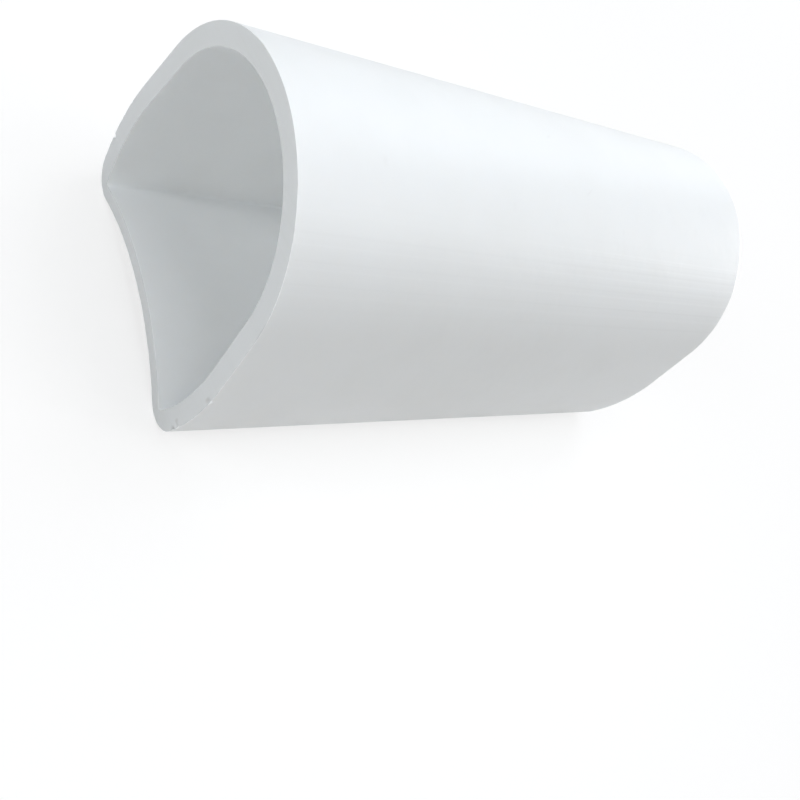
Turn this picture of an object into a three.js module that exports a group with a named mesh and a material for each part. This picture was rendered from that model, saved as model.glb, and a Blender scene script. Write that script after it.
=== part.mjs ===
// Dock edge bumper: one short length of hollow extruded vinyl profile.
// The round crown takes the knock, and two straight flanks lean out from it towards the widest level.
// Below that the sides turn in to two rounded feet, and the back between the feet is hollowed
// so that it sits on a round pile. Both ends are sawn square and left open.
// Millimetres. X is the width, Y the length and Z the height of the crown.
// The origin is on the plane of the feet, under the middle of the piece.
import * as THREE from 'three';

// Overall sizes
const LENGTH = 226;
const WIDTH = 114;
const DEPTH = 113;

// Outer section. The drop is from the crown's centre down to the widest level.
const CROWN_RADIUS = 52.8;
const SIDE_RADIUS = 93;
const WIDEST_DROP = 29;
const FOOT_RADIUS = 10;
const SEAT_RADIUS = 101.6;

// Wall at the top of the crown, along the sides and over the seat, and the two inner corners
const CROWN_WALL = 7;
const SIDE_WALL = 7.7;
const SEAT_WALL = 4.8;
const CORNER_RADIUS = 1;

// How far the middle of a flat facet may lie from the true round, and the fewest facets of an arc
const FACET_SAG = 0.03;
const FEWEST_FACETS = 4;

// Bare white vinyl with a satin skin
const VINYL_COLOUR = 0xf0f2f2;
const VINYL_ROUGHNESS = 0.42;

const UP = Math.PI / 2;
const SIDEWAYS = 0;
const DOWN = -Math.PI / 2;

function direction(from, to) {
  return Math.atan2(to.y - from.y, to.x - from.x);
}

// Points of a round stretch between two directions, clockwise where the angle falls.
function arc(centre, radius, start, end) {
  const facetAngle = 2 * Math.acos(1 - FACET_SAG / radius);
  const facets = Math.max(FEWEST_FACETS, Math.ceil(Math.abs(end - start) / facetAngle));
  const curve = new THREE.EllipseCurve(centre.x, centre.y, radius, radius, start, end, end < start);
  return curve.getPoints(facets);
}

// Where two circles cross, on the side away from the middle of the section.
function outerCrossing(centreA, radiusA, centreB, radiusB) {
  const apart = centreA.distanceTo(centreB);
  const along = (apart ** 2 + radiusA ** 2 - radiusB ** 2) / (2 * apart);
  const aside = Math.sqrt(radiusA ** 2 - along ** 2);
  const way = centreB.clone().sub(centreA).normalize();
  const across = new THREE.Vector2(-way.y, way.x);
  const chord = centreA.clone().addScaledVector(way, along);
  return chord.addScaledVector(across, aside * Math.sign(across.x));
}

// The circles that the outline runs along, with the middle of the crown's circle at (0, 0).
// The flank touches the crown's circle and the side's, which gives the angle that it leans at.
// The foot's circle touches the side's from inside, and its lowest point is the foot's.
// The seat's circle touches the foot's from outside, and it is centred under the crown.
function layOutSection() {
  const side = new THREE.Vector2(WIDTH / 2 - SIDE_RADIUS, -WIDEST_DROP);
  const lean = Math.atan2(side.y, side.x) + Math.acos((CROWN_RADIUS - SIDE_RADIUS) / side.length());

  const footHeight = CROWN_RADIUS - DEPTH + FOOT_RADIUS;
  const footReach = Math.sqrt((SIDE_RADIUS - FOOT_RADIUS) ** 2 - (footHeight - side.y) ** 2);
  const foot = new THREE.Vector2(side.x + footReach, footHeight);

  const seatDrop = Math.sqrt((SEAT_RADIUS + FOOT_RADIUS) ** 2 - foot.x ** 2);
  const seat = new THREE.Vector2(0, foot.y - seatDrop);
  return { side, foot, seat, lean };
}

// Right half of the outer outline, from the top of the crown down to the middle of the seat.
function outerHalf({ side, foot, seat, lean }) {
  const crown = new THREE.Vector2(0, 0);
  return [
    ...arc(crown, CROWN_RADIUS, UP, lean),
    ...arc(side, SIDE_RADIUS, lean, SIDEWAYS),
    ...arc(side, SIDE_RADIUS, SIDEWAYS, direction(side, foot)).slice(1),
    ...arc(foot, FOOT_RADIUS, direction(side, foot), DOWN).slice(1),
    ...arc(foot, FOOT_RADIUS, DOWN, direction(foot, seat)).slice(1),
    ...arc(seat, SEAT_RADIUS, direction(seat, foot), UP).slice(1),
  ];
}

// Right half of the hollow's outline, from under the crown down to the middle of the seat.
// Its flank is parallel to the outer one, and its crown's arc runs into that flank.
function innerHalf({ side, seat, lean }) {
  const top = CROWN_RADIUS - CROWN_WALL;
  const flank = CROWN_RADIUS - SIDE_WALL;
  const crownRadius = (flank - top * Math.sin(lean)) / (1 - Math.sin(lean));
  const crown = new THREE.Vector2(0, top - crownRadius);

  const sideRadius = SIDE_RADIUS - SIDE_WALL;
  const seatRadius = SEAT_RADIUS + SEAT_WALL;
  const corner = outerCrossing(side, sideRadius - CORNER_RADIUS, seat, seatRadius + CORNER_RADIUS);
  return [
    ...arc(crown, crownRadius, UP, lean),
    ...arc(side, sideRadius, lean, direction(side, corner)),
    ...arc(corner, CORNER_RADIUS, direction(side, corner), direction(corner, seat)).slice(1),
    ...arc(seat, seatRadius, direction(seat, corner), UP).slice(1),
  ];
}

// Both halves of an outline, with the points on the middle line taken once.
function bothHalves(half) {
  const mirrored = half.slice(1, -1).map((point) => new THREE.Vector2(-point.x, point.y));
  return [...half, ...mirrored.reverse()];
}

function bumperProfile() {
  const layout = layOutSection();
  const section = new THREE.Shape(bothHalves(outerHalf(layout)));
  // The hollow's outline runs the other way round from the outer one.
  section.holes.push(new THREE.Path(bothHalves(innerHalf(layout)).reverse()));
  const geometry = new THREE.ExtrudeGeometry(section, { depth: LENGTH, bevelEnabled: false });

  const vinyl = new THREE.MeshStandardMaterial({
    color: VINYL_COLOUR,
    roughness: VINYL_ROUGHNESS,
    metalness: 0,
  });

  const mesh = new THREE.Mesh(geometry, vinyl);
  mesh.name = 'bumper_profile';
  mesh.rotation.x = UP;
  mesh.position.set(0, LENGTH / 2, DEPTH - CROWN_RADIUS);
  return mesh;
}

const bumper = new THREE.Group();
bumper.add(bumperProfile());

export default bumper;
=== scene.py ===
"""Looks of a dock edge bumper: one short length of hollow white vinyl extrusion.

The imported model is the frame. One modelled piece stands for its only node: the same section drawn
with finer arcs, swept along the length, with softened saw cuts, the chips that the saw left, and a
finish for the skin, the hollow and the sawn faces. Everything is in metres in the row frame: X
across the width, Y along the extrusion, Z from the plane of the feet up to the crown.
"""

import logging
import math
from dataclasses import dataclass
from enum import Enum

import bpy
import numpy as np
from mathutils import Matrix, Vector, noise


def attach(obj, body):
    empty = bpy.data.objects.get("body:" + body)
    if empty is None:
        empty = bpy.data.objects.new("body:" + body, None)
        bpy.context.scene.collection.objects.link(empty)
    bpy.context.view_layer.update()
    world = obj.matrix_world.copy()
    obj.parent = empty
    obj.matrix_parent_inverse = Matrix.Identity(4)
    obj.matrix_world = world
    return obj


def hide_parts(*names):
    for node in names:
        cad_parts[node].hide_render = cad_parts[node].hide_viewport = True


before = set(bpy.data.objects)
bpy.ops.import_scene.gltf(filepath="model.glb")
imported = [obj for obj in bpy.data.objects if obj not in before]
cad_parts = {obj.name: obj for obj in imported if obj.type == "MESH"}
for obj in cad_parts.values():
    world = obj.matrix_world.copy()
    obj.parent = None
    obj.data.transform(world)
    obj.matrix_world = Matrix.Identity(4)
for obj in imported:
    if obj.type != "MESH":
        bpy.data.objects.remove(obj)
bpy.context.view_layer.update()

log = logging.getLogger("dock_bumper")

UP = math.pi / 2
NEARLY_ZERO = 1e-6
WHITE = (1.0, 1.0, 1.0, 1.0)
BLACK = (0.0, 0.0, 0.0, 1.0)
Socket = bpy.types.NodeSocket
Point = tuple[float, float]
Triple = tuple[float, float, float]
Colour = Triple


def in_scene(name: str, data: bpy.types.ID) -> bpy.types.Object:
    """Makes an object and puts it in the scene, at the origin.

    Args:
        name: The object's name.
        data: Its mesh, lamp or camera.

    Returns:
        The new object.
    """
    made = bpy.data.objects.new(name, data)
    bpy.context.scene.collection.objects.link(made)
    return made


class Tree:
    """A node tree that is being built: of a material, a world, a shader group or geometry nodes."""

    def __init__(self, tree: bpy.types.NodeTree) -> None:
        """Starts on an existing tree, with whatever nodes it holds removed.

        Args:
            tree: The Blender node tree to fill.
        """
        self.tree = tree
        self.tree.nodes.clear()

    def feed(self, socket: Socket, value: object) -> None:
        """Links an output to an input, or writes a plain value on the input.

        Args:
            socket: The input that takes the value.
            value: An output socket, or a number, colour or data-block.
        """
        if isinstance(value, bpy.types.NodeSocket):
            self.tree.links.new(value, socket)
        else:
            socket.default_value = value

    def node(
        self, kind: str, inputs: dict[str | int, object] | None = None, **settings: object
    ) -> bpy.types.Node:
        """Adds one node.

        Args:
            kind: The node's type, as Blender names it.
            inputs: What goes into its inputs, by socket name or number.
            **settings: The node's own settings, such as its operation.

        Returns:
            The new node.
        """
        made = self.tree.nodes.new(kind)
        for name, value in settings.items():
            setattr(made, name, value)
        for name, value in (inputs or {}).items():
            self.feed(made.inputs[name], value)
        return made

    def math(self, operation: str, *values: object) -> Socket:
        """Returns the socket of a Math node's result. Its operands are sockets or numbers."""
        return self.node("ShaderNodeMath", dict(enumerate(values)), operation=operation).outputs[0]

    def vector(self, operation: str, *values: object) -> Socket:
        """Returns the socket of a Vector Math node's result, which is a number for LENGTH."""
        made = self.node("ShaderNodeVectorMath", dict(enumerate(values)), operation=operation)
        return made.outputs["Value" if operation == "LENGTH" else "Vector"]

    def scaled(self, vector: Socket, factor: object) -> Socket:
        """Returns the socket of a vector times a number."""
        inputs = {0: vector, "Scale": factor}
        return self.node("ShaderNodeVectorMath", inputs, operation="SCALE").outputs[0]

    def split(self, vector: Socket) -> tuple[Socket, ...]:
        """Returns the sockets of a vector's X, Y and Z."""
        return tuple(self.node("ShaderNodeSeparateXYZ", {0: vector}).outputs)

    def joined(self, x: object = 0.0, y: object = 0.0, z: object = 0.0) -> Socket:
        """Returns the socket of the vector of three numbers."""
        return self.node("ShaderNodeCombineXYZ", {0: x, 1: y, 2: z}).outputs[0]

    def group(self, group: bpy.types.NodeTree, inputs: dict[str, object]) -> Socket:
        """Returns the only output of a shader group that is placed in this tree."""
        return self.node("ShaderNodeGroup", inputs, node_tree=group).outputs[0]

    def noise(self, place: Socket, detail: float, seed: object = None, **shape: object) -> Socket:
        """Adds a Noise Texture node.

        Args:
            place: Where it is read, as it is unless shape has a Scale.
            detail: How many finer layers it has.
            seed: What picks one pattern out of many, or None for a plain pattern in space.
            **shape: Its Scale and Roughness, where they aren't the usual ones.

        Returns:
            The socket of the noise from 0 to 1.
        """
        inputs = {"Vector": place, "Scale": 1.0, "Detail": detail, **shape}
        if seed is None:
            return self.node("ShaderNodeTexNoise", inputs).outputs[0]
        inputs["W"] = seed
        return self.node("ShaderNodeTexNoise", inputs, noise_dimensions="4D").outputs[0]

    def ramp(
        self, value: Socket, low: float, high: float, start: float = 0.0, end: float = 1.0
    ) -> Socket:
        """Adds a smooth Map Range node.

        Args:
            value: The number that is mapped.
            low: Where the ramp starts.
            high: Where it ends.
            start: The result up to low.
            end: The result from high on.

        Returns:
            The result's socket.
        """
        stops = {"Value": value, "From Min": low, "From Max": high, "To Min": start, "To Max": end}
        return self.node("ShaderNodeMapRange", stops, interpolation_type="SMOOTHSTEP").outputs[0]

    def mixed(self, factor: Socket, first: object, second: object) -> Socket:
        """Adds a Mix node for two colours.

        Args:
            factor: The share of the second colour.
            first: The colour at 0, a socket or four numbers.
            second: The colour at 1, a socket or four numbers.

        Returns:
            The mixed colour's socket.
        """
        made = self.node("ShaderNodeMix", data_type="RGBA")
        named = {s.identifier: s for s in made.inputs}
        self.feed(named["Factor_Float"], factor)
        self.feed(named["A_Color"], first)
        self.feed(named["B_Color"], second)
        return next(s for s in made.outputs if s.identifier == "Result_Color")


class Surface(Enum):
    """The kinds of surface that the extrusion has, each with a finish of its own."""

    SKIN = "vinyl_skin"
    HOLLOW = "vinyl_hollow"
    SAWN = "vinyl_sawn"


class CutEnd(Enum):
    """The two sawn ends, by the side of the origin that they lie on."""

    NEAR = -1.0
    FAR = 1.0


@dataclass(frozen=True)
class SectionSizes:
    """Sizes of the extrusion's section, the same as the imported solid's."""

    width: float = 0.114
    depth: float = 0.113
    crown_radius: float = 0.0528
    side_radius: float = 0.093
    widest_drop: float = 0.029
    foot_radius: float = 0.010
    seat_radius: float = 0.1016
    crown_wall: float = 0.007
    side_wall: float = 0.0077
    seat_wall: float = 0.0048
    corner_radius: float = 0.001


@dataclass(frozen=True)
class Arc:
    """One round stretch of an outline, from one direction to another round its centre."""

    centre: Point
    radius: float
    start: float
    end: float

    def points(self, steps: int) -> np.ndarray:
        """Spaces points along the stretch.

        Args:
            steps: How many equal steps to take.

        Returns:
            Its points in the XZ plane, the last one left out.
        """
        turn = np.linspace(self.start, self.end, steps + 1)[:-1]
        across = self.centre[0] + self.radius * np.cos(turn)
        return np.column_stack([across, self.centre[1] + self.radius * np.sin(turn)])


@dataclass(frozen=True)
class Section:
    """The section as two outlines whose points go in pairs, one on the skin and one in the hollow.

    The arcs are laid out with the middle of the crown's circle at (0, 0), and moved up to the row
    frame as the points are made.
    """

    sizes: SectionSizes = SectionSizes()
    crown_steps: int = 74
    side_steps: int = 78
    foot_steps: int = 38
    seat_steps: int = 42

    @staticmethod
    def direction(start: Point, end: Point) -> float:
        """Returns the angle of the way from one point to another."""
        return math.atan2(end[1] - start[1], end[0] - start[0])

    @staticmethod
    def crossing(first: Point, first_radius: float, second: Point, second_radius: float) -> Point:
        """Finds where two circles cross on the +X side.

        Args:
            first: The first circle's centre.
            first_radius: Its radius.
            second: The second circle's centre.
            second_radius: Its radius.

        Returns:
            The crossing point.
        """
        apart = math.dist(first, second)
        along = (apart**2 + first_radius**2 - second_radius**2) / (2 * apart)
        aside = math.sqrt(first_radius**2 - along**2)
        way = ((second[0] - first[0]) / apart, (second[1] - first[1]) / apart)
        side = math.copysign(aside, -way[1])
        return first[0] + way[0] * along - way[1] * side, first[1] + way[1] * along + way[0] * side

    def arcs(self) -> list[tuple[Arc, Arc, int]]:
        """Lays out the right half of both outlines, from the crown's top down to the seat's middle.

        Returns:
            Pairs of an outer and an inner arc, with the steps that both are divided into.
        """
        s = self.sizes
        side = (s.width / 2 - s.side_radius, -s.widest_drop)
        opening = math.acos((s.crown_radius - s.side_radius) / math.hypot(*side))
        lean = math.atan2(side[1], side[0]) + opening
        foot_height = s.crown_radius - s.depth + s.foot_radius
        foot_reach = math.sqrt((s.side_radius - s.foot_radius) ** 2 - (foot_height - side[1]) ** 2)
        foot = (side[0] + foot_reach, foot_height)
        seat = (0.0, foot[1] - math.sqrt((s.seat_radius + s.foot_radius) ** 2 - foot[0] ** 2))

        top = s.crown_radius - s.crown_wall
        flank = s.crown_radius - s.side_wall
        inner_crown = (flank - top * math.sin(lean)) / (1 - math.sin(lean))
        inner_side = s.side_radius - s.side_wall
        inner_seat = s.seat_radius + s.seat_wall
        inset = s.corner_radius
        corner = self.crossing(side, inner_side - inset, seat, inner_seat + inset)
        turn = self.direction
        outer = (
            Arc((0.0, 0.0), s.crown_radius, UP, lean),
            Arc(side, s.side_radius, lean, turn(side, foot)),
            Arc(foot, s.foot_radius, turn(side, foot), turn(foot, seat)),
            Arc(seat, s.seat_radius, turn(seat, foot), UP),
        )
        inner = (
            Arc((0.0, top - inner_crown), inner_crown, UP, lean),
            Arc(side, inner_side, lean, turn(side, corner)),
            Arc(corner, s.corner_radius, turn(side, corner), turn(corner, seat)),
            Arc(seat, inner_seat, turn(seat, corner), UP),
        )
        steps = (self.crown_steps, self.side_steps, self.foot_steps, self.seat_steps)
        return list(zip(outer, inner, steps))

    def outlines(self) -> tuple[np.ndarray, np.ndarray]:
        """Makes both closed outlines in the row frame.

        Returns:
            The skin's points and the hollow's, as rows of X and Z, round from the crown's top.
        """
        arcs = self.arcs()
        lift = self.sizes.depth - self.sizes.crown_radius
        made = []
        for which in range(2):
            half = np.concatenate([pair[which].points(pair[2]) for pair in arcs])
            last = arcs[-1][which]
            bottom = np.array([[0.0, last.centre[1] + last.radius]])
            mirrored = half[1:][::-1] * (-1, 1)
            made.append(np.concatenate([half, bottom, mirrored]) + (0.0, lift))
        return made[0], made[1]


class SharedEffects:
    """Shader node groups that more than one finish uses, each built once."""

    COARSE_SCALE = 0.35
    FINE_SHARE = 0.6
    PATCH_EDGES = (0.35, 0.68)

    def __init__(self) -> None:
        """Builds the groups."""
        self.flow_lines = self._flow_lines()
        self.mottle = self._mottle()
        self.specks = self._specks()

    @staticmethod
    def _group(
        name: str, numbers: dict[str, float], result: str
    ) -> tuple[Tree, dict[str, Socket], Socket]:
        """Starts a shader group that takes a Coordinate and some numbers, and puts out one number.

        Args:
            name: The group's name.
            numbers: The default of each number that it takes, by name.
            result: The name of its output.

        Returns:
            The group's tree, its inputs by name, and the socket that takes its output.
        """
        group = bpy.data.node_groups.new(name, "ShaderNodeTree")
        sockets = group.interface
        sockets.new_socket("Coordinate", in_out="INPUT", socket_type="NodeSocketVector")
        for label, default in numbers.items():
            made = sockets.new_socket(label, in_out="INPUT", socket_type="NodeSocketFloat")
            made.default_value = default
        sockets.new_socket(result, in_out="OUTPUT", socket_type="NodeSocketFloat")
        tree = Tree(group)
        given = {s.name: s for s in tree.node("NodeGroupInput").outputs if s.name}
        return tree, given, tree.node("NodeGroupOutput").inputs[result]

    def _flow_lines(self) -> bpy.types.NodeTree:
        """Builds the fine lines that the die draws along the whole extrusion.

        Returns:
            The group. "Height" is the lines' relief from 0 to 1.
        """
        numbers = {"Lines per Metre": 700.0, "Drift": 6.0, "Seed": 0.0}
        tree, given, out = self._group("die_flow_lines", numbers, "Height")
        stretch = tree.joined(given["Lines per Metre"], given["Drift"], given["Lines per Metre"])
        place = tree.vector("MULTIPLY", given["Coordinate"], stretch)
        coarse = tree.noise(place, 2.0, given["Seed"], Scale=self.COARSE_SCALE)
        fine = tree.noise(place, 3.0, given["Seed"], Roughness=0.6)
        rest = tree.math("MULTIPLY", coarse, 1.0 - self.FINE_SHARE)
        tree.feed(out, tree.math("MULTIPLY_ADD", fine, self.FINE_SHARE, rest))
        return tree.tree

    def _mottle(self) -> bpy.types.NodeTree:
        """Builds the soft patches of handling and dust that every surface has a little of.

        Returns:
            The group. "Patches" is their mask from 0 to 1.
        """
        numbers = {"Patches per Metre": 30.0, "Seed": 0.0}
        tree, given, out = self._group("soft_mottle", numbers, "Patches")
        shape = {"Scale": given["Patches per Metre"], "Roughness": 0.55}
        cloud = tree.noise(given["Coordinate"], 4.0, given["Seed"], **shape)
        tree.feed(out, tree.ramp(cloud, *self.PATCH_EDGES))
        return tree.tree

    def _specks(self) -> bpy.types.NodeTree:
        """Builds the rare dark specks in the vinyl.

        Returns:
            The group. "Specks" is their mask from 0 to 1.
        """
        numbers = {"Specks per Metre": 80.0, "Share": 0.05, "Size": 0.03}
        tree, given, out = self._group("dark_specks", numbers, "Specks")
        cells = tree.node(
            "ShaderNodeTexVoronoi",
            {"Vector": given["Coordinate"], "Scale": given["Specks per Metre"]},
            voronoi_dimensions="3D",
        )
        chance = tree.node("ShaderNodeSeparateColor", {0: cells.outputs["Color"]})
        near = tree.math("LESS_THAN", cells.outputs["Distance"], given["Size"])
        picked = tree.math("LESS_THAN", chance.outputs[0], given["Share"])
        tree.feed(out, tree.math("MULTIPLY", near, picked))
        return tree.tree


@dataclass(frozen=True)
class DieLine:
    """One line that a nick or a deposit on the die drew along the whole extrusion, with its
    relief's light and shade painted into the colour.

    The angle is taken round the crown's middle from +X, and the width is half of the line's foot,
    both in degrees. The tone is the share by which the line is painted lighter or darker towards
    the far cut, as painted highlight and shade of its relief, and near_share is how much of that is
    left towards the near one.
    """

    angle: float
    tone: float
    width: float = 0.6
    near_share: float = 0.5

    def tone_at(self, angle: float, far: bool) -> float:
        """Returns the line's tone at an angle, at the far end or the near one."""
        strength = self.tone if far else self.tone * self.near_share
        return strength * max(0.0, 1.0 - abs(angle - self.angle) / self.width)


@dataclass(frozen=True)
class Mark:
    """A small spot on the surface, as a soft ellipsoid round its place: a dirty spot or scratch on
    the skin, and painted shade in a chip on the sawn faces.

    The sizes are its half lengths along X, Y and Z, and the turn is about Z, in radians.
    """

    place: Triple
    sizes: Triple
    strength: float
    turn: float = 0.0


@dataclass(frozen=True)
class Coat:
    """The material that a finish is being built in, with what its effects are drawn from.

    The place is the object coordinates, the patches are the soft mottle from 0 to 1, and the clean
    colour is the vinyl's with the mottle's soil on it.
    """

    tree: Tree
    shared: SharedEffects
    place: Socket
    patches: Socket
    clean: Socket


@dataclass(frozen=True)
class Finish:
    """What every finish of the white vinyl has in common."""

    surface: Surface = Surface.SKIN
    colour: Colour = (0.86, 0.88, 0.89)
    soiled: Colour = (0.80, 0.81, 0.80)
    soil_share: float = 0.25
    stain_and_shade_colour: Colour = (0.30, 0.28, 0.25)
    mark_core: float = 0.2
    marks: tuple[Mark, ...] = ()
    roughness: float = 0.40
    roughness_spread: float = 0.06
    relief: float = 0.000012
    patches_per_metre: float = 22.0
    seed: float = 1.7
    refraction: float = 1.53
    shine: float = 0.50
    glow_share: float = 0.20
    glow_depth: float = 0.004
    glow_colours: Triple = (1.0, 0.92, 0.85)

    def effects(self, coat: Coat) -> tuple[Socket, Socket, Socket]:
        """Returns the sockets of the colour, of the roughening from 0 to 2, and of the relief."""
        raise NotImplementedError

    def material(self, shared: SharedEffects) -> bpy.types.Material:
        """Builds the material.

        Args:
            shared: The groups that the finishes share.

        Returns:
            The material, named for its surface.
        """
        made = bpy.data.materials.new(self.surface.value)
        made.use_nodes = True
        tree = Tree(made.node_tree)
        place = tree.node("ShaderNodeTexCoord").outputs["Object"]
        numbers = {"Patches per Metre": self.patches_per_metre, "Seed": self.seed}
        patches = tree.group(shared.mottle, {"Coordinate": place, **numbers})
        soil = tree.math("MULTIPLY", patches, self.soil_share)
        clean = tree.mixed(soil, (*self.colour, 1.0), (*self.soiled, 1.0))
        colour, rougher, height = self.effects(Coat(tree, shared, place, patches, clean))

        shader = self.body(tree)
        low = self.roughness - self.roughness_spread
        rough = tree.math("MULTIPLY_ADD", rougher, self.roughness_spread, low)
        inputs = {"Height": height, "Distance": self.relief, "Strength": 1.0}
        bump = tree.node("ShaderNodeBump", inputs)
        tree.feed(shader.inputs["Base Color"], self.marked(tree, place, colour))
        tree.feed(shader.inputs["Roughness"], rough)
        tree.feed(shader.inputs["Normal"], bump.outputs[0])
        return made

    def body(self, tree: Tree) -> bpy.types.Node:
        """Adds the vinyl's own shader, with the values that are the same all over.

        Args:
            tree: The material's tree.

        Returns:
            The Principled node, linked to the material's output.
        """
        shader = tree.node(
            "ShaderNodeBsdfPrincipled",
            {
                "IOR": self.refraction,
                "Metallic": 0.0,
                "Specular IOR Level": self.shine,
                "Subsurface Weight": self.glow_share,
                "Subsurface Scale": self.glow_depth,
                "Subsurface Radius": self.glow_colours,
            },
        )
        tree.node("ShaderNodeOutputMaterial", {"Surface": shader.outputs[0]})
        return shader

    def marked(self, tree: Tree, place: Socket, colour: Socket) -> Socket:
        """Adds the marks to a colour: stains on the skin, and painted shade in the chips on the
        sawn faces.

        Args:
            tree: The material's tree.
            place: The object coordinates.
            colour: The clean surface's colour.

        Returns:
            The marked colour's socket.
        """
        for mark in self.marks:
            shape = {"Location": mark.place, "Rotation": (0.0, 0.0, mark.turn), "Scale": mark.sizes}
            spot = tree.node("ShaderNodeMapping", {"Vector": place, **shape}, vector_type="TEXTURE")
            off = tree.vector("LENGTH", spot.outputs[0])
            # Each spot darkens the colour: a stain on the skin, or painted shade in a chip on a
            # sawn face.
            share = tree.ramp(off, self.mark_core, 1.0, mark.strength, 0.0)
            colour = tree.mixed(share, colour, (*self.stain_and_shade_colour, 1.0))
        return colour


@dataclass(frozen=True)
class ExtrudedFinish(Finish):
    """A surface that the die or the mandrel shaped, with fine lines along it."""

    lines_per_metre: float = 520.0
    drift: float = 4.0

    def flow(self, coat: Coat) -> Socket:
        """Returns the socket of the fine lines' height, from 0 to 1."""
        inputs = {"Lines per Metre": self.lines_per_metre, "Drift": self.drift, "Seed": self.seed}
        return coat.tree.group(coat.shared.flow_lines, {"Coordinate": coat.place, **inputs})


@dataclass(frozen=True)
class SkinFinish(ExtrudedFinish):
    """Satin extruded vinyl: soft patches, fine lines, and the clearer lines of the die's nicks,
    whose relief's highlight and shade are painted into the colour.

    The clearer lines lean a little, by line_lean radians per metre. They show fully from line_full
    on towards the far cut. A line's height is its tone times relief_per_tone, as a share of relief.
    """

    speck_colour: Colour = (0.33, 0.33, 0.34)
    relief_per_tone: float = 35 / 3
    line_lean: float = -0.10
    line_start: float = -0.05
    line_full: float = 0.07
    line_angles: Point = (20.0, 62.0)
    tone_limit: float = 0.04
    ripples_per_metre: float = 80.0
    ripple_stretch: float = 0.4
    ripple_slant: float = 0.9
    ripple_relief: float = 0.0004
    crown_height: float = 0.0602
    marks: tuple[Mark, ...] = (
        Mark((-0.0088, -0.0013, 0.1122), (0.0026, 0.0009, 0.0015), 0.05, 2.2),
        Mark((0.0144, -0.0824, 0.1110), (0.0026, 0.0014, 0.0020), 0.030),
        Mark((0.0206, -0.0288, 0.1088), (0.0018, 0.0012, 0.0020), 0.020),
        Mark((0.0118, 0.0115, 0.1117), (0.0036, 0.0006, 0.0020), 0.045, 2.19),
        Mark((0.0232, 0.0302, 0.1077), (0.0016, 0.0010, 0.0015), 0.030),
        Mark((0.0190, 0.0778, 0.1094), (0.0035, 0.0026, 0.0030), 0.014),
        Mark((0.0105, 0.0850, 0.1118), (0.0045, 0.0030, 0.0030), 0.010),
    )
    # Painted highlight and shade: each line's tone lightens or darkens the skin's colour where its
    # relief catches or loses the light.
    die_lines: tuple[DieLine, ...] = (
        DieLine(59.1, -0.009, 0.8),
        DieLine(55.2, 0.030, 0.5, 0.2),
        DieLine(54.0, 0.018, 0.4, 0.0),
        DieLine(53.4, -0.020, 0.4, 0.0),
        DieLine(51.6, -0.016, 0.4, 0.0),
        DieLine(50.8, 0.024, 0.5, 0.1),
        DieLine(48.9, -0.030, 0.7),
        DieLine(48.0, 0.012, 0.4, 0.0),
        DieLine(45.4, 0.030, 0.6, 0.5),
        DieLine(44.4, 0.010, 0.5, 0.3),
        DieLine(43.0, -0.018, 0.4, 0.0),
        DieLine(42.2, 0.016, 0.4, 0.0),
        DieLine(40.4, -0.026, 0.6),
        DieLine(39.2, -0.012, 0.4, 0.0),
        DieLine(38.1, 0.026, 0.5, 0.5),
        DieLine(37.1, -0.010, 0.4, 0.0),
        DieLine(35.6, 0.008, 0.9),
        DieLine(33.7, 0.012, 0.3, 0.0),
        DieLine(32.9, -0.036, 0.5, 0.4),
        DieLine(29.5, 0.018, 1.0),
        DieLine(24.4, -0.024, 0.8, 0.3),
    )

    def effects(self, coat: Coat) -> tuple[Socket, Socket, Socket]:
        """Adds the lines with their painted highlight and shade, the specks and the ripples.

        Args:
            coat: The material that is being built.

        Returns:
            The sockets of the colour, of the roughening from 0 to 2, and of the relief.
        """
        tree = coat.tree
        flow = self.flow(coat)
        specks = tree.group(coat.shared.specks, {"Coordinate": coat.place})
        line_shade_and_relief = self.die_line_shade_and_relief(tree, coat.place)
        # The die lines' painted highlight and shade, multiplied into the colour; the same share
        # also raises their relief.
        colour = tree.scaled(coat.clean, tree.math("ADD", line_shade_and_relief, 1.0))
        colour = tree.mixed(specks, colour, (*self.speck_colour, 1.0))
        height = tree.math("MULTIPLY_ADD", line_shade_and_relief, self.relief_per_tone, flow)
        rippled = tree.math("MULTIPLY", self.ripples(tree, coat.place), coat.patches)
        height = tree.math("MULTIPLY_ADD", rippled, self.ripple_relief / self.relief, height)
        return colour, tree.math("ADD", coat.patches, flow), height

    def ripples(self, tree: Tree, place: Socket) -> Socket:
        """Adds the soft slanting ripples that the profile took as it cooled.

        Args:
            tree: The material's tree.
            place: The object coordinates.

        Returns:
            The socket of their height from 0 to 1.
        """
        x, y, z = tree.split(place)
        slanted = tree.math("MULTIPLY_ADD", x, -self.ripple_slant, y)
        across = self.ripple_stretch * self.ripples_per_metre
        scale = (across, self.ripples_per_metre, across)
        where = tree.vector("MULTIPLY", tree.joined(x, slanted, z), scale)
        return tree.noise(where, 1.0, self.seed)

    def line_curve(self, tree: Tree, share: Socket, far: bool) -> Socket:
        """Adds the curve of the lines' painted highlight and shade over the angle, as they are at
        one end.

        Args:
            tree: The material's tree.
            share: Where the angle lies between the first and the last that the curve covers.
            far: Whether it is for the far end.

        Returns:
            The socket of the tone, as a share of the strongest one.
        """
        first, last = self.line_angles
        made = tree.node("ShaderNodeFloatCurve", {"Value": share})
        made.mapping.clip_min_y = -1.0
        curve = made.mapping.curves[0]
        curve.points[1].location = (1.0, 0.0)
        lines = self.die_lines
        stops = {line.angle + side * line.width for line in lines for side in (-1, 0, 1)}
        for stop in sorted(stops):
            tone = sum(line.tone_at(stop, far) for line in lines)
            curve.points.new((stop - first) / (last - first), tone / self.tone_limit)
        for point in curve.points:
            point.handle_type = "VECTOR"
        made.mapping.update()
        return made.outputs[0]

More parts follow.
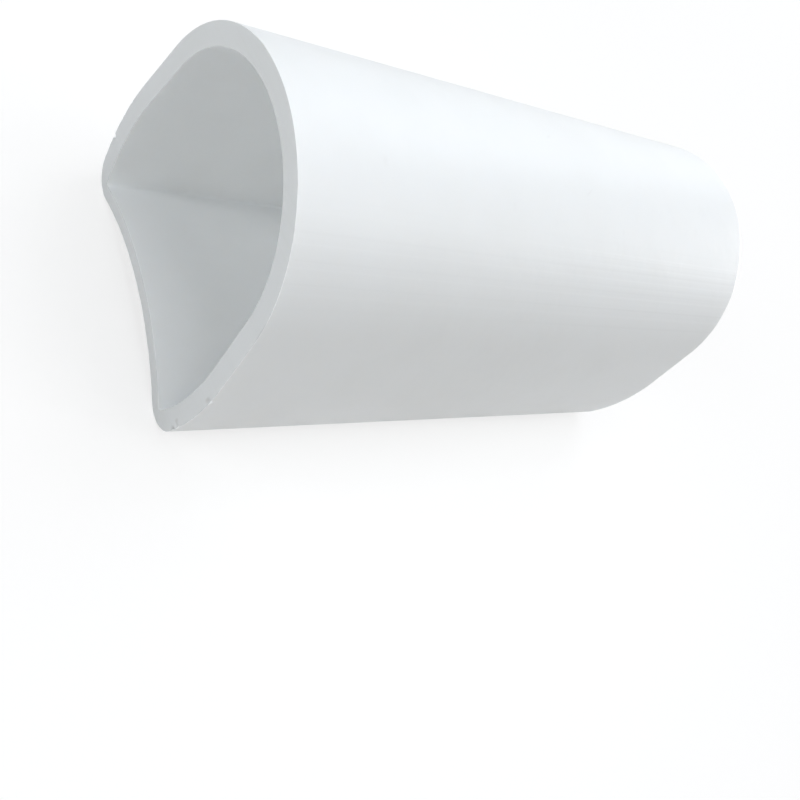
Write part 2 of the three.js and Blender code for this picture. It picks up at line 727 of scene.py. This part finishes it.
    def die_line_shade_and_relief(self, tree: Tree, place: Socket) -> Socket:
        """Adds the painted highlight and shade of the die lines' relief, which show most towards
        the far cut.

        Args:
            tree: The material's tree.
            place: The object coordinates.

        Returns:
            The socket of the share by which the surface is painted lighter or darker.
        """
        x, y, z = tree.split(place)
        turn = tree.math("ARCTAN2", tree.math("SUBTRACT", z, self.crown_height), x)
        turn = tree.math("SUBTRACT", turn, tree.math("MULTIPLY", y, self.line_lean))
        first, last = (math.radians(angle) for angle in self.line_angles)
        share = tree.math("DIVIDE", tree.math("SUBTRACT", turn, first), last - first)
        near, far = (
            tree.math("MULTIPLY", self.line_curve(tree, share, end), self.tone_limit)
            for end in (False, True)
        )
        along = tree.ramp(y, self.line_start, self.line_full)
        return tree.math("MULTIPLY_ADD", along, tree.math("SUBTRACT", far, near), near)


@dataclass(frozen=True)
class HollowFinish(ExtrudedFinish):
    """The inside of the extrusion: the same vinyl, duller, with wider lines from the mandrel."""

    surface: Surface = Surface.HOLLOW
    colour: Colour = (0.90, 0.92, 0.93)
    roughness: float = 0.48
    relief: float = 0.000015
    lines_per_metre: float = 260.0
    drift: float = 3.0

    def effects(self, coat: Coat) -> tuple[Socket, Socket, Socket]:
        """Returns the sockets of the colour, the roughening and the relief of the fine lines."""
        return coat.clean, coat.tree.math("MULTIPLY", coat.patches, 2.0), self.flow(coat)


@dataclass(frozen=True)
class SawnFinish(Finish):
    """A face that the saw left: duller, with close marks across it, crumbs caught in them, and
    painted shade in its chips.

    The saw marks are stretched along X and Y, to mark_stretch times as many per metre as along Z.
    """

    surface: Surface = Surface.SAWN
    colour: Colour = (0.615, 0.632, 0.642)
    soiled: Colour = (0.57, 0.585, 0.58)
    roughness: float = 0.62
    roughness_spread: float = 0.10
    shine: float = 0.25
    relief: float = 0.00005
    marks_per_metre: float = 900.0
    mark_stretch: Triple = (0.03, 0.2, 1.0)
    mark_slant: float = 0.22
    crumbs_per_metre: float = 1600.0
    crumb_share: float = 0.35
    groove_edges: Point = (0.30, 0.48)
    groove_soil: float = 0.20
    # Painted shade: darker spots where the chips of the near cut are hollowed out.
    marks: tuple[Mark, ...] = (
        Mark((0.0553, -0.1130, 0.0366), (0.0011, 0.0014, 0.0020), 0.22),
        Mark((0.0530, -0.1130, 0.0146), (0.0012, 0.0012, 0.0017), 0.24),
        Mark((0.0541, -0.1130, 0.0112), (0.0010, 0.0012, 0.0018), 0.28),
        Mark((-0.0556, -0.1130, 0.0181), (0.0007, 0.0012, 0.0014), 0.45),
    )

    def effects(self, coat: Coat) -> tuple[Socket, Socket, Socket]:
        """Adds the saw marks and the crumbs.

        Args:
            coat: The material that is being built.

        Returns:
            The sockets of the colour, of the roughening from 0 to 2, and of the relief.
        """
        tree = coat.tree
        inputs = {"Vector": coat.place, "Rotation": (0.0, self.mark_slant, 0.0)}
        turned = tree.node("ShaderNodeMapping", inputs).outputs[0]
        scale = tuple(share * self.marks_per_metre for share in self.mark_stretch)
        sawn = tree.noise(tree.vector("MULTIPLY", turned, scale), 3.0, Roughness=0.6)
        crumbs = tree.noise(coat.place, 2.0, Scale=self.crumbs_per_metre)
        rest = tree.math("MULTIPLY", sawn, 1.0 - self.crumb_share)
        height = tree.math("MULTIPLY_ADD", crumbs, self.crumb_share, rest)
        groove = tree.ramp(sawn, *self.groove_edges, self.groove_soil, 0.0)
        colour = tree.mixed(groove, coat.clean, (*self.soiled, 1.0))
        return colour, tree.math("MULTIPLY", sawn, 2.0), height


@dataclass(frozen=True)
class Chip:
    """A scoop that the saw or a knock took out of the rim of a cut.

    The bite is how far its middle stands out of the rim, and the roughness how much its wall goes
    in and out, both as a share of its radius.
    """

    end: CutEnd
    x: float
    z: float
    radius: float
    bite: float = 0.45
    roughness: float = 0.22
    grains_per_metre: float = 1400.0
    reach: float = 1.3

    def carve(self, points: np.ndarray, length: float, inward: Point) -> None:
        """Pushes the points that lie in the scoop back to its far side.

        Args:
            points: The mesh's points, changed in place.
            length: The length of the extrusion.
            inward: The way from the rim into the wall, in the XZ plane.
        """
        axis = np.array([inward[0], -self.end.value, inward[1]])
        axis /= np.linalg.norm(axis)
        rim = np.array([self.x, self.end.value * length / 2, self.z])
        centre = rim - axis * self.radius * self.bite
        offset = points - centre
        near = np.einsum("ij,ij->i", offset, offset) < (self.reach * self.radius) ** 2
        for index in np.flatnonzero(near):
            along = float(offset[index] @ axis)
            grain = noise.noise(Vector(points[index]) * self.grains_per_metre)
            radius = self.radius * (1.0 + self.roughness * grain)
            gap = float(offset[index] @ offset[index]) - radius**2
            if gap < 0:
                points[index] += axis * (-along + math.sqrt(along * along - gap))


@dataclass(frozen=True)
class BumperProfile:
    """The hollow extrusion: its section swept along the length and sawn square, with chipped rims.

    Each kind of unevenness has a depth, and a grain that says how many waves it has per metre of X,
    Y and Z. From the first X in torn_from to the second, the rims get more ragged, up to torn_gain
    times. In the loop that is swept, the hollow's wall lies one metre and two edge breaks in, and
    the test for it starts at hollow_start edge breaks, past the last step of the broken edge.
    """

    section: Section = Section()
    length: float = 0.226
    edge_break: float = 0.00013
    break_steps: int = 3
    hollow_start: float = 1.97
    rings_along: int = 50
    rings_across: int = 9
    ragged_depth: float = 0.00018
    ragged_grain: Triple = (300.0, 150.0, 300.0)
    ragged_edges: Point = (0.48, 0.68)
    torn_from: Point = (0.036, 0.050)
    torn_gain: float = 3.0
    saw_depth: float = 0.00010
    saw_grain: Triple = (40.0, 0.0, 400.0)
    wave_depth: float = 0.00006
    wave_grain: Triple = (110.0, 3.0, 110.0)
    seed: float = 4.2
    chips: tuple[Chip, ...] = (
        Chip(CutEnd.NEAR, 0.0557, 0.0374, 0.0013),
        Chip(CutEnd.NEAR, 0.0544, 0.0142, 0.0012),
        Chip(CutEnd.NEAR, 0.0537, 0.0110, 0.0011),
        Chip(CutEnd.NEAR, 0.0565, 0.0262, 0.0008),
        Chip(CutEnd.NEAR, -0.0552, 0.0178, 0.0010),
        Chip(CutEnd.FAR, -0.0561, 0.0460, 0.0009),
        Chip(CutEnd.FAR, 0.0310, 0.1030, 0.0008),
    )

    def outline_object(self) -> bpy.types.Object:
        """Makes the closed outline that the sweep starts from.

        Returns:
            An object whose points lie on the skin and carry both points of their pair.
        """
        skin, hollow = (np.insert(points, 1, 0.0, axis=1) for points in self.section.outlines())
        count = len(skin)
        mesh = bpy.data.meshes.new("section_outline")
        mesh.from_pydata(skin.tolist(), [(i, (i + 1) % count) for i in range(count)], [])
        for name, points in (("skin_point", skin), ("hollow_point", hollow)):
            layer = mesh.attributes.new(name, "FLOAT_VECTOR", "POINT")
            layer.data.foreach_set("vector", points.astype(np.float32).ravel())
        return in_scene("section_outline", mesh)

    def sweep_inputs(
        self, materials: dict[Surface, bpy.types.Material]
    ) -> dict[str, tuple[str, object]]:
        """Lists what the sweep's tree is given.

        Args:
            materials: The finish of each kind of surface.

        Returns:
            Each input's name, with its socket type and value.
        """
        kinds = {float: "NodeSocketFloat", int: "NodeSocketInt"}
        numbers = {
            "Length": self.length,
            "Edge Break": self.edge_break,
            "Break Steps": self.break_steps,
            "Rings Along": self.rings_along,
            "Rings Across": self.rings_across,
            "Ragged Depth": self.ragged_depth,
            "Saw Depth": self.saw_depth,
            "Wave Depth": self.wave_depth,
            "Seed": self.seed,
        }
        sized = {name: (kinds[type(value)], value) for name, value in numbers.items()}
        finished = {s.name.title(): ("NodeSocketMaterial", materials[s]) for s in Surface}
        return {**sized, **finished}

    def wall_loop(self, tree: Tree, given: dict[str, Socket]) -> Socket:
        """Adds the loop that each point of the outline is swept round.

        It runs along the skin, across one cut, back through the hollow and across the other cut. X
        is the way through the wall, where the middle metre stands for the wall between the two
        broken edges, and Y the way along the extrusion.

        Args:
            tree: The sweep's tree.
            given: The tree's inputs.

        Returns:
            The loop's socket, a closed curve whose points carry their place as "wall_place".
        """
        edge = given["Edge Break"]
        width = tree.math("ADD", tree.math("MULTIPLY", edge, 2.0), 1.0)
        inputs = {"Width": width, "Height": given["Length"]}
        rectangle = tree.node("GeometryNodeCurvePrimitiveQuadrilateral", inputs).outputs[0]
        inputs = {"Curve": rectangle, "Radius": edge, "Count": given["Break Steps"]}
        rounded = tree.node("GeometryNodeFilletCurve", inputs, mode="POLY").outputs[0]

        # Only the long stretch along each wall and the one across each cut are divided.
        position = tree.node("GeometryNodeInputPosition").outputs[0]
        index = tree.node("GeometryNodeInputIndex").outputs[0]
        following = tree.node("GeometryNodeOffsetPointInCurve", {"Point Index": index, "Offset": 1})
        inputs = {"Index": following.outputs["Point Index"]}
        on_points = {"data_type": "FLOAT_VECTOR", "domain": "POINT"}
        ahead = tree.node("GeometryNodeFieldAtIndex", inputs, **on_points)
        tree.feed(ahead.inputs["Value"], position)
        step = tree.vector("ABSOLUTE", tree.vector("SUBTRACT", ahead.outputs[0], position))
        step_x, step_y, _ = tree.split(step)
        across = tree.math("GREATER_THAN", step_x, 0.5)
        along = tree.math("GREATER_THAN", step_y, tree.math("MULTIPLY", given["Length"], 0.5))
        cuts = tree.math("MULTIPLY", along, given["Rings Along"])
        cuts = tree.math("MULTIPLY_ADD", across, given["Rings Across"], cuts)
        divided = tree.node("GeometryNodeSubdivideCurve", {"Curve": rounded, "Cuts": cuts})

        place = tree.vector("ADD", position, tree.joined(tree.math("ADD", edge, 0.5)))
        inputs = {"Geometry": divided.outputs[0], "Name": "wall_place", "Value": place}
        return tree.node("GeometryNodeStoreNamedAttribute", inputs, **on_points).outputs[0]

    def placed(self, tree: Tree, given: dict[str, Socket], swept: Socket) -> tuple[Socket, Socket]:
        """Adds the move that brings each swept point to its place in the wall.

        Args:
            tree: The sweep's tree.
            given: The tree's inputs.
            swept: The mesh from the outline and the loop.

        Returns:
            The moved mesh's socket, and that of the way through the wall.
        """
        kind = "GeometryNodeInputNamedAttribute"
        skin, hollow, place = (
            tree.node(kind, {"Name": name}, data_type="FLOAT_VECTOR").outputs[0]
            for name in ("skin_point", "hollow_point", "wall_place")
        )
        through_way, along_way, _ = tree.split(place)
        edge = given["Edge Break"]

        wall = tree.vector("SUBTRACT", hollow, skin)
        thickness = tree.vector("LENGTH", wall)
        past = tree.math("SUBTRACT", through_way, edge)
        first = tree.math("MINIMUM", through_way, edge)
        last = tree.math("MAXIMUM", tree.math("SUBTRACT", past, 1.0), 0.0)
        share = tree.math("MINIMUM", tree.math("MAXIMUM", past, 0.0), 1.0)
        swing = tree.math("COSINE", tree.math("MULTIPLY", share, math.pi))
        share = tree.math("MULTIPLY_ADD", swing, -0.5, 0.5)
        plain = tree.math("SUBTRACT", thickness, tree.math("MULTIPLY", edge, 2.0))
        through = tree.math("MULTIPLY_ADD", share, plain, tree.math("ADD", first, last))
        inwards = tree.scaled(tree.vector("NORMALIZE", wall), through)

        # The rings crowd towards the cuts, where the chips are.
        half = tree.math("SUBTRACT", tree.math("MULTIPLY", given["Length"], 0.5), edge)
        straight = tree.math("MAXIMUM", along_way, tree.math("MULTIPLY", half, -1.0))
        straight = tree.math("MINIMUM", straight, half)
        turn = tree.math("MULTIPLY", tree.math("DIVIDE", straight, half), math.pi / 2)
        crowded = tree.math("MULTIPLY", tree.math("SINE", turn), half)
        along = tree.math("ADD", crowded, tree.math("SUBTRACT", along_way, straight))

        spot = tree.vector("ADD", tree.vector("ADD", skin, inwards), tree.joined(y=along))
        moved = tree.node("GeometryNodeSetPosition", {"Geometry": swept, "Position": spot})
        return moved.outputs[0], through_way

    def on_hollow(self, tree: Tree, given: dict[str, Socket], through_way: Socket) -> Socket:
        """Returns the socket that is 1 on the hollow's own wall, past the broken edge."""
        start = tree.math("MULTIPLY_ADD", given["Edge Break"], self.hollow_start, 1.0)
        return tree.math("GREATER_THAN", through_way, start)

    def weathered(
        self, tree: Tree, given: dict[str, Socket], mesh: Socket, through_way: Socket
    ) -> Socket:
        """Adds the small unevenness of the real piece, always into the material.

        Args:
            tree: The sweep's tree.
            given: The tree's inputs.
            mesh: The placed mesh.
            through_way: The way through the wall.

        Returns:
            The uneven mesh's socket.
        """
        position = tree.node("GeometryNodeInputPosition").outputs[0]
        normal = tree.node("GeometryNodeInputNormal").outputs[0]
        edge = given["Edge Break"]

        def relief(grain: Triple) -> Socket:
            """Returns the socket of a noise from 0 to 1."""
            return tree.noise(tree.vector("MULTIPLY", position, grain), 2.0, given["Seed"])

        on_skin = tree.math("LESS_THAN", through_way, NEARLY_ZERO)
        on_wall = tree.math("MAXIMUM", on_skin, self.on_hollow(tree, given, through_way))
        on_face = tree.math("SUBTRACT", 1.0, on_wall)
        before = tree.math("LESS_THAN", through_way, edge)
        beyond = tree.math("GREATER_THAN", through_way, tree.math("ADD", edge, 1.0))
        on_edge = tree.math("MULTIPLY", on_face, tree.math("MAXIMUM", before, beyond))

        wave_depth = tree.math("MULTIPLY", given["Wave Depth"], on_wall)
        wave = tree.math("MULTIPLY", relief(self.wave_grain), wave_depth)
        saw_depth = tree.math("MULTIPLY", given["Saw Depth"], on_face)
        saw = tree.math("MULTIPLY", relief(self.saw_grain), saw_depth)
        corner = tree.ramp(tree.split(position)[0], *self.torn_from, 1.0, self.torn_gain)
        torn = tree.math("MULTIPLY", tree.math("MULTIPLY", given["Ragged Depth"], on_edge), corner)
        rags = tree.ramp(relief(self.ragged_grain), *self.ragged_edges)
        ragged = tree.math("MULTIPLY", rags, torn)
        depth = tree.math("ADD", wave, tree.math("ADD", saw, ragged))
        offset = tree.scaled(normal, tree.math("MULTIPLY", depth, -1.0))
        return tree.node("GeometryNodeSetPosition", {"Geometry": mesh, "Offset": offset}).outputs[0]

    def sweep_tree(self, inputs: dict[str, tuple[str, object]]) -> bpy.types.NodeTree:
        """Builds the Geometry Nodes tree that sweeps the section.

        Args:
            inputs: Each input's name, with its socket type and value.

        Returns:
            The tree, whose one output is the finished surface.
        """
        group = bpy.data.node_groups.new("swept_bumper_profile", "GeometryNodeTree")
        sockets = group.interface
        sockets.new_socket("Outline", in_out="INPUT", socket_type="NodeSocketGeometry")
        for name, (kind, _) in inputs.items():
            sockets.new_socket(name, in_out="INPUT", socket_type=kind)
        sockets.new_socket("Surface", in_out="OUTPUT", socket_type="NodeSocketGeometry")
        tree = Tree(group)
        given = {s.name: s for s in tree.node("NodeGroupInput").outputs if s.name}

        def step(kind: str, mesh: Socket, **more: object) -> Socket:
            """Returns the geometry's socket after one more node."""
            return tree.node(kind, {"Geometry": mesh, **more}).outputs[0]

        outline = tree.node("GeometryNodeMeshToCurve", {"Mesh": given["Outline"]}).outputs[0]
        loop = self.wall_loop(tree, given)
        swept = tree.node("GeometryNodeCurveToMesh", {"Curve": outline, "Profile Curve": loop})
        mesh, through_way = self.placed(tree, given, swept.outputs[0])
        mesh = self.weathered(tree, given, mesh, through_way)
        mesh = step("GeometryNodeSetShadeSmooth", mesh, **{"Shade Smooth": True})
        mesh = step("GeometryNodeRealizeInstances", mesh)
        mesh = step("GeometryNodeSetMaterial", mesh, Material=given["Sawn"])
        on_skin = tree.math("LESS_THAN", through_way, given["Edge Break"])
        on_hollow = self.on_hollow(tree, given, through_way)
        for chosen, name in ((on_skin, "Skin"), (on_hollow, "Hollow")):
            mesh = step("GeometryNodeSetMaterial", mesh, Selection=chosen, Material=given[name])
        tree.node("NodeGroupOutput", {"Surface": mesh})
        return group

    def swept(self, materials: dict[Surface, bpy.types.Material]) -> bpy.types.Object:
        """Runs the sweep and keeps its result as a plain mesh.

        Args:
            materials: The finish of each kind of surface.

        Returns:
            The extrusion's object, at the origin.
        """
        outline = self.outline_object()
        inputs = self.sweep_inputs(materials)
        group = self.sweep_tree(inputs)
        sweep = outline.modifiers.new("sweep", "NODES")
        sweep.node_group = group
        sockets = group.interface.items_tree
        identifiers = {s.name: s.identifier for s in sockets if s.in_out == "INPUT"}
        for name, (_, value) in inputs.items():
            sweep[identifiers[name]] = value
        outline.update_tag()
        evaluated = outline.evaluated_get(bpy.context.evaluated_depsgraph_get())
        mesh = bpy.data.meshes.new_from_object(evaluated)
        outline.modifiers.remove(sweep)
        bpy.data.objects.remove(outline)
        mesh.name = "vinyl_profile"
        return in_scene("vinyl_profile", mesh)

    def chipped(self, piece: bpy.types.Object) -> None:
        """Carves the chips out of the rims of the cuts.

        Args:
            piece: The swept extrusion, changed in place.
        """
        skin, hollow = self.section.outlines()
        points = np.empty(len(piece.data.vertices) * 3)
        piece.data.vertices.foreach_get("co", points)
        points = points.reshape(-1, 3)
        for chip in self.chips:
            nearest = int(np.argmin(np.hypot(skin[:, 0] - chip.x, skin[:, 1] - chip.z)))
            way = hollow[nearest] - skin[nearest]
            chip.carve(points, self.length, tuple(way / np.linalg.norm(way)))
        piece.data.vertices.foreach_set("co", points.ravel())
        piece.data.update()

    def build(self, materials: dict[Surface, bpy.types.Material]) -> bpy.types.Object:
        """Builds the whole extrusion and says what it stands for.

        Args:
            materials: The finish of each kind of surface.

        Returns:
            The finished piece.
        """
        piece = self.swept(materials)
        self.chipped(piece)
        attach(piece, "root")
        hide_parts("bumper_profile")
        return piece


@dataclass(frozen=True)
class Lamp:
    """A square soft lamp that faces the middle of the object.

    The azimuth turns from +X towards +Y and the elevation is above the floor, both in degrees. The
    light is the share of full brightness, in red, green and blue, that a white surface facing the
    lamp shows.
    """

    name: str
    azimuth: float
    elevation: float
    light: Colour
    distance: float = 1.1
    size: float = 0.8

    def build(self, target: Vector) -> bpy.types.Object:
        """Hangs the lamp.

        Args:
            target: The point that it faces.

        Returns:
            The lamp's object.
        """
        strongest = max(self.light)
        data = bpy.data.lights.new(self.name, "AREA")
        data.shape = "SQUARE"
        data.size = self.size
        data.color = tuple(share / strongest for share in self.light)
        data.energy = strongest * math.pi * self.distance**2 * math.pi
        made = in_scene(self.name, data)
        turn, rise = math.radians(self.azimuth), math.radians(self.elevation)
        reach = math.cos(rise)
        away = Vector((reach * math.cos(turn), reach * math.sin(turn), math.sin(rise)))
        made.location = target + away * self.distance
        made.rotation_mode = "QUATERNION"
        made.rotation_quaternion = away.to_track_quat("Z", "Y")
        return made


@dataclass(frozen=True)
class Studio:
    """A pale floor in soft light, and the camera at the photograph's angle.

    The floor lights the object as floor_grey does. The camera sees it as white, which floor_lift
    gives together with the light that falls on floor_shown.
    """

    floor_side: float = 12.0
    floor_grey: float = 0.80
    floor_shown: float = 0.32
    floor_lift: float = 0.70
    lamps: tuple[Lamp, ...] = (
        Lamp("overhead", 0.0, 90.0, (0.525, 0.543, 0.567)),
        Lamp("near_low", 270.0, 18.0, (0.485, 0.493, 0.496)),
        Lamp("near_right", 315.0, 5.0, (0.150, 0.145, 0.134), 2.4, 1.2),
        Lamp("far_right", 45.0, 50.0, (0.199, 0.194, 0.186), 2.4, 1.6),
        Lamp("far_low", 90.0, 5.0, (0.601, 0.602, 0.602), 2.4),
        Lamp("far_left_low", 135.0, 18.0, (0.094, 0.097, 0.095)),
        Lamp("far_left_high", 135.0, 50.0, (0.230, 0.240, 0.253), 2.4, 1.6),
    )
    target: Triple = (0.0, 0.0, 0.055)
    camera_place: Triple = (0.15508, -0.25158, 0.26964)
    camera_forward: Triple = (-0.25377, 0.64921, -0.71703)
    camera_up: Triple = (-0.92637, 0.05014, 0.37325)
    lens: float = 40.97
    sensor: float = 36.0
    shift_up: float = 0.05
    nearest_seen: float = 0.01

    def floor(self) -> bpy.types.Object:
        """Lays the floor, which the camera sees as white with the object's shadow on it.

        Returns:
            The floor's object.
        """
        half = self.floor_side / 2
        corners = [(x * half, y * half, 0) for x, y in ((-1, -1), (1, -1), (1, 1), (-1, 1))]
        mesh = bpy.data.meshes.new("floor")
        mesh.from_pydata(corners, [], [(0, 1, 2, 3)])
        material = bpy.data.materials.new("pale_floor")
        material.use_nodes = True
        tree = Tree(material.node_tree)
        lit, shown = (
            tree.node("ShaderNodeBsdfDiffuse", {"Color": (grey, grey, grey, 1.0)}).outputs[0]
            for grey in (self.floor_grey, self.floor_shown)
        )
        inputs = {"Color": WHITE, "Strength": self.floor_lift}
        lift = tree.node("ShaderNodeEmission", inputs).outputs[0]
        white = tree.node("ShaderNodeAddShader", {0: shown, 1: lift}).outputs[0]
        inputs = {0: self.seen(tree), 1: lit, 2: white}
        above = tree.node("ShaderNodeMixShader", inputs).outputs[0]
        below = tree.node("ShaderNodeBsdfTransparent").outputs[0]
        back = tree.node("ShaderNodeNewGeometry").outputs["Backfacing"]
        both = tree.node("ShaderNodeMixShader", {0: back, 1: above, 2: below}).outputs[0]
        tree.node("ShaderNodeOutputMaterial", {"Surface": both})
        mesh.materials.append(material)
        return in_scene("floor", mesh)

    @staticmethod
    def seen(tree: Tree) -> Socket:
        """Adds the test for what the camera, a reflection or glass shows.

        Args:
            tree: The material's or the world's tree.

        Returns:
            The socket that is 1 there.
        """
        path = tree.node("ShaderNodeLightPath").outputs
        shown = tree.math("MAXIMUM", path["Is Camera Ray"], path["Is Glossy Ray"])
        return tree.math("MAXIMUM", shown, path["Is Transmission Ray"])

    def world(self) -> None:
        """Sets the world: white where it shows, and no light of its own on the object."""
        made = bpy.data.worlds.new("studio")
        made.use_nodes = True
        bpy.context.scene.world = made
        tree = Tree(made.node_tree)
        colour = tree.mixed(self.seen(tree), BLACK, WHITE)
        back = tree.node("ShaderNodeBackground", {"Color": colour, "Strength": 1.0})
        tree.node("ShaderNodeOutputWorld", {"Surface": back.outputs[0]})

    def camera(self) -> bpy.types.Object:
        """Sets the camera where the photograph was taken from.

        Returns:
            The camera's object.
        """
        data = bpy.data.cameras.new("camera")
        data.sensor_width = self.sensor
        data.lens = self.lens
        data.shift_y = self.shift_up
        data.clip_start = self.nearest_seen
        made = in_scene("camera", data)
        back = -Vector(self.camera_forward).normalized()
        right = Vector(self.camera_up).cross(back).normalized()
        turned = Matrix((right, back.cross(right), back)).transposed().to_4x4()
        made.matrix_world = Matrix.Translation(self.camera_place) @ turned
        bpy.context.scene.camera = made
        return made

    def build(self) -> None:
        """Builds the floor, the world, the lamps and the camera."""
        self.floor()
        self.world()
        for lamp in self.lamps:
            lamp.build(Vector(self.target))
        self.camera()
        bpy.context.scene.view_settings.view_transform = "Standard"


def main() -> None:
    """Builds the finishes, the extrusion and the studio, and reports each piece."""
    logging.basicConfig(level=logging.INFO, format="%(name)s: %(message)s")
    shared = SharedEffects()
    finishes = (SkinFinish(), HollowFinish(), SawnFinish())
    materials = {finish.surface: finish.material(shared) for finish in finishes}
    piece = BumperProfile().build(materials)
    mesh = piece.data
    log.info("%s: %d points, %d faces", piece.name, len(mesh.vertices), len(mesh.polygons))
    Studio().build()


if __name__ == "__main__":
    main()
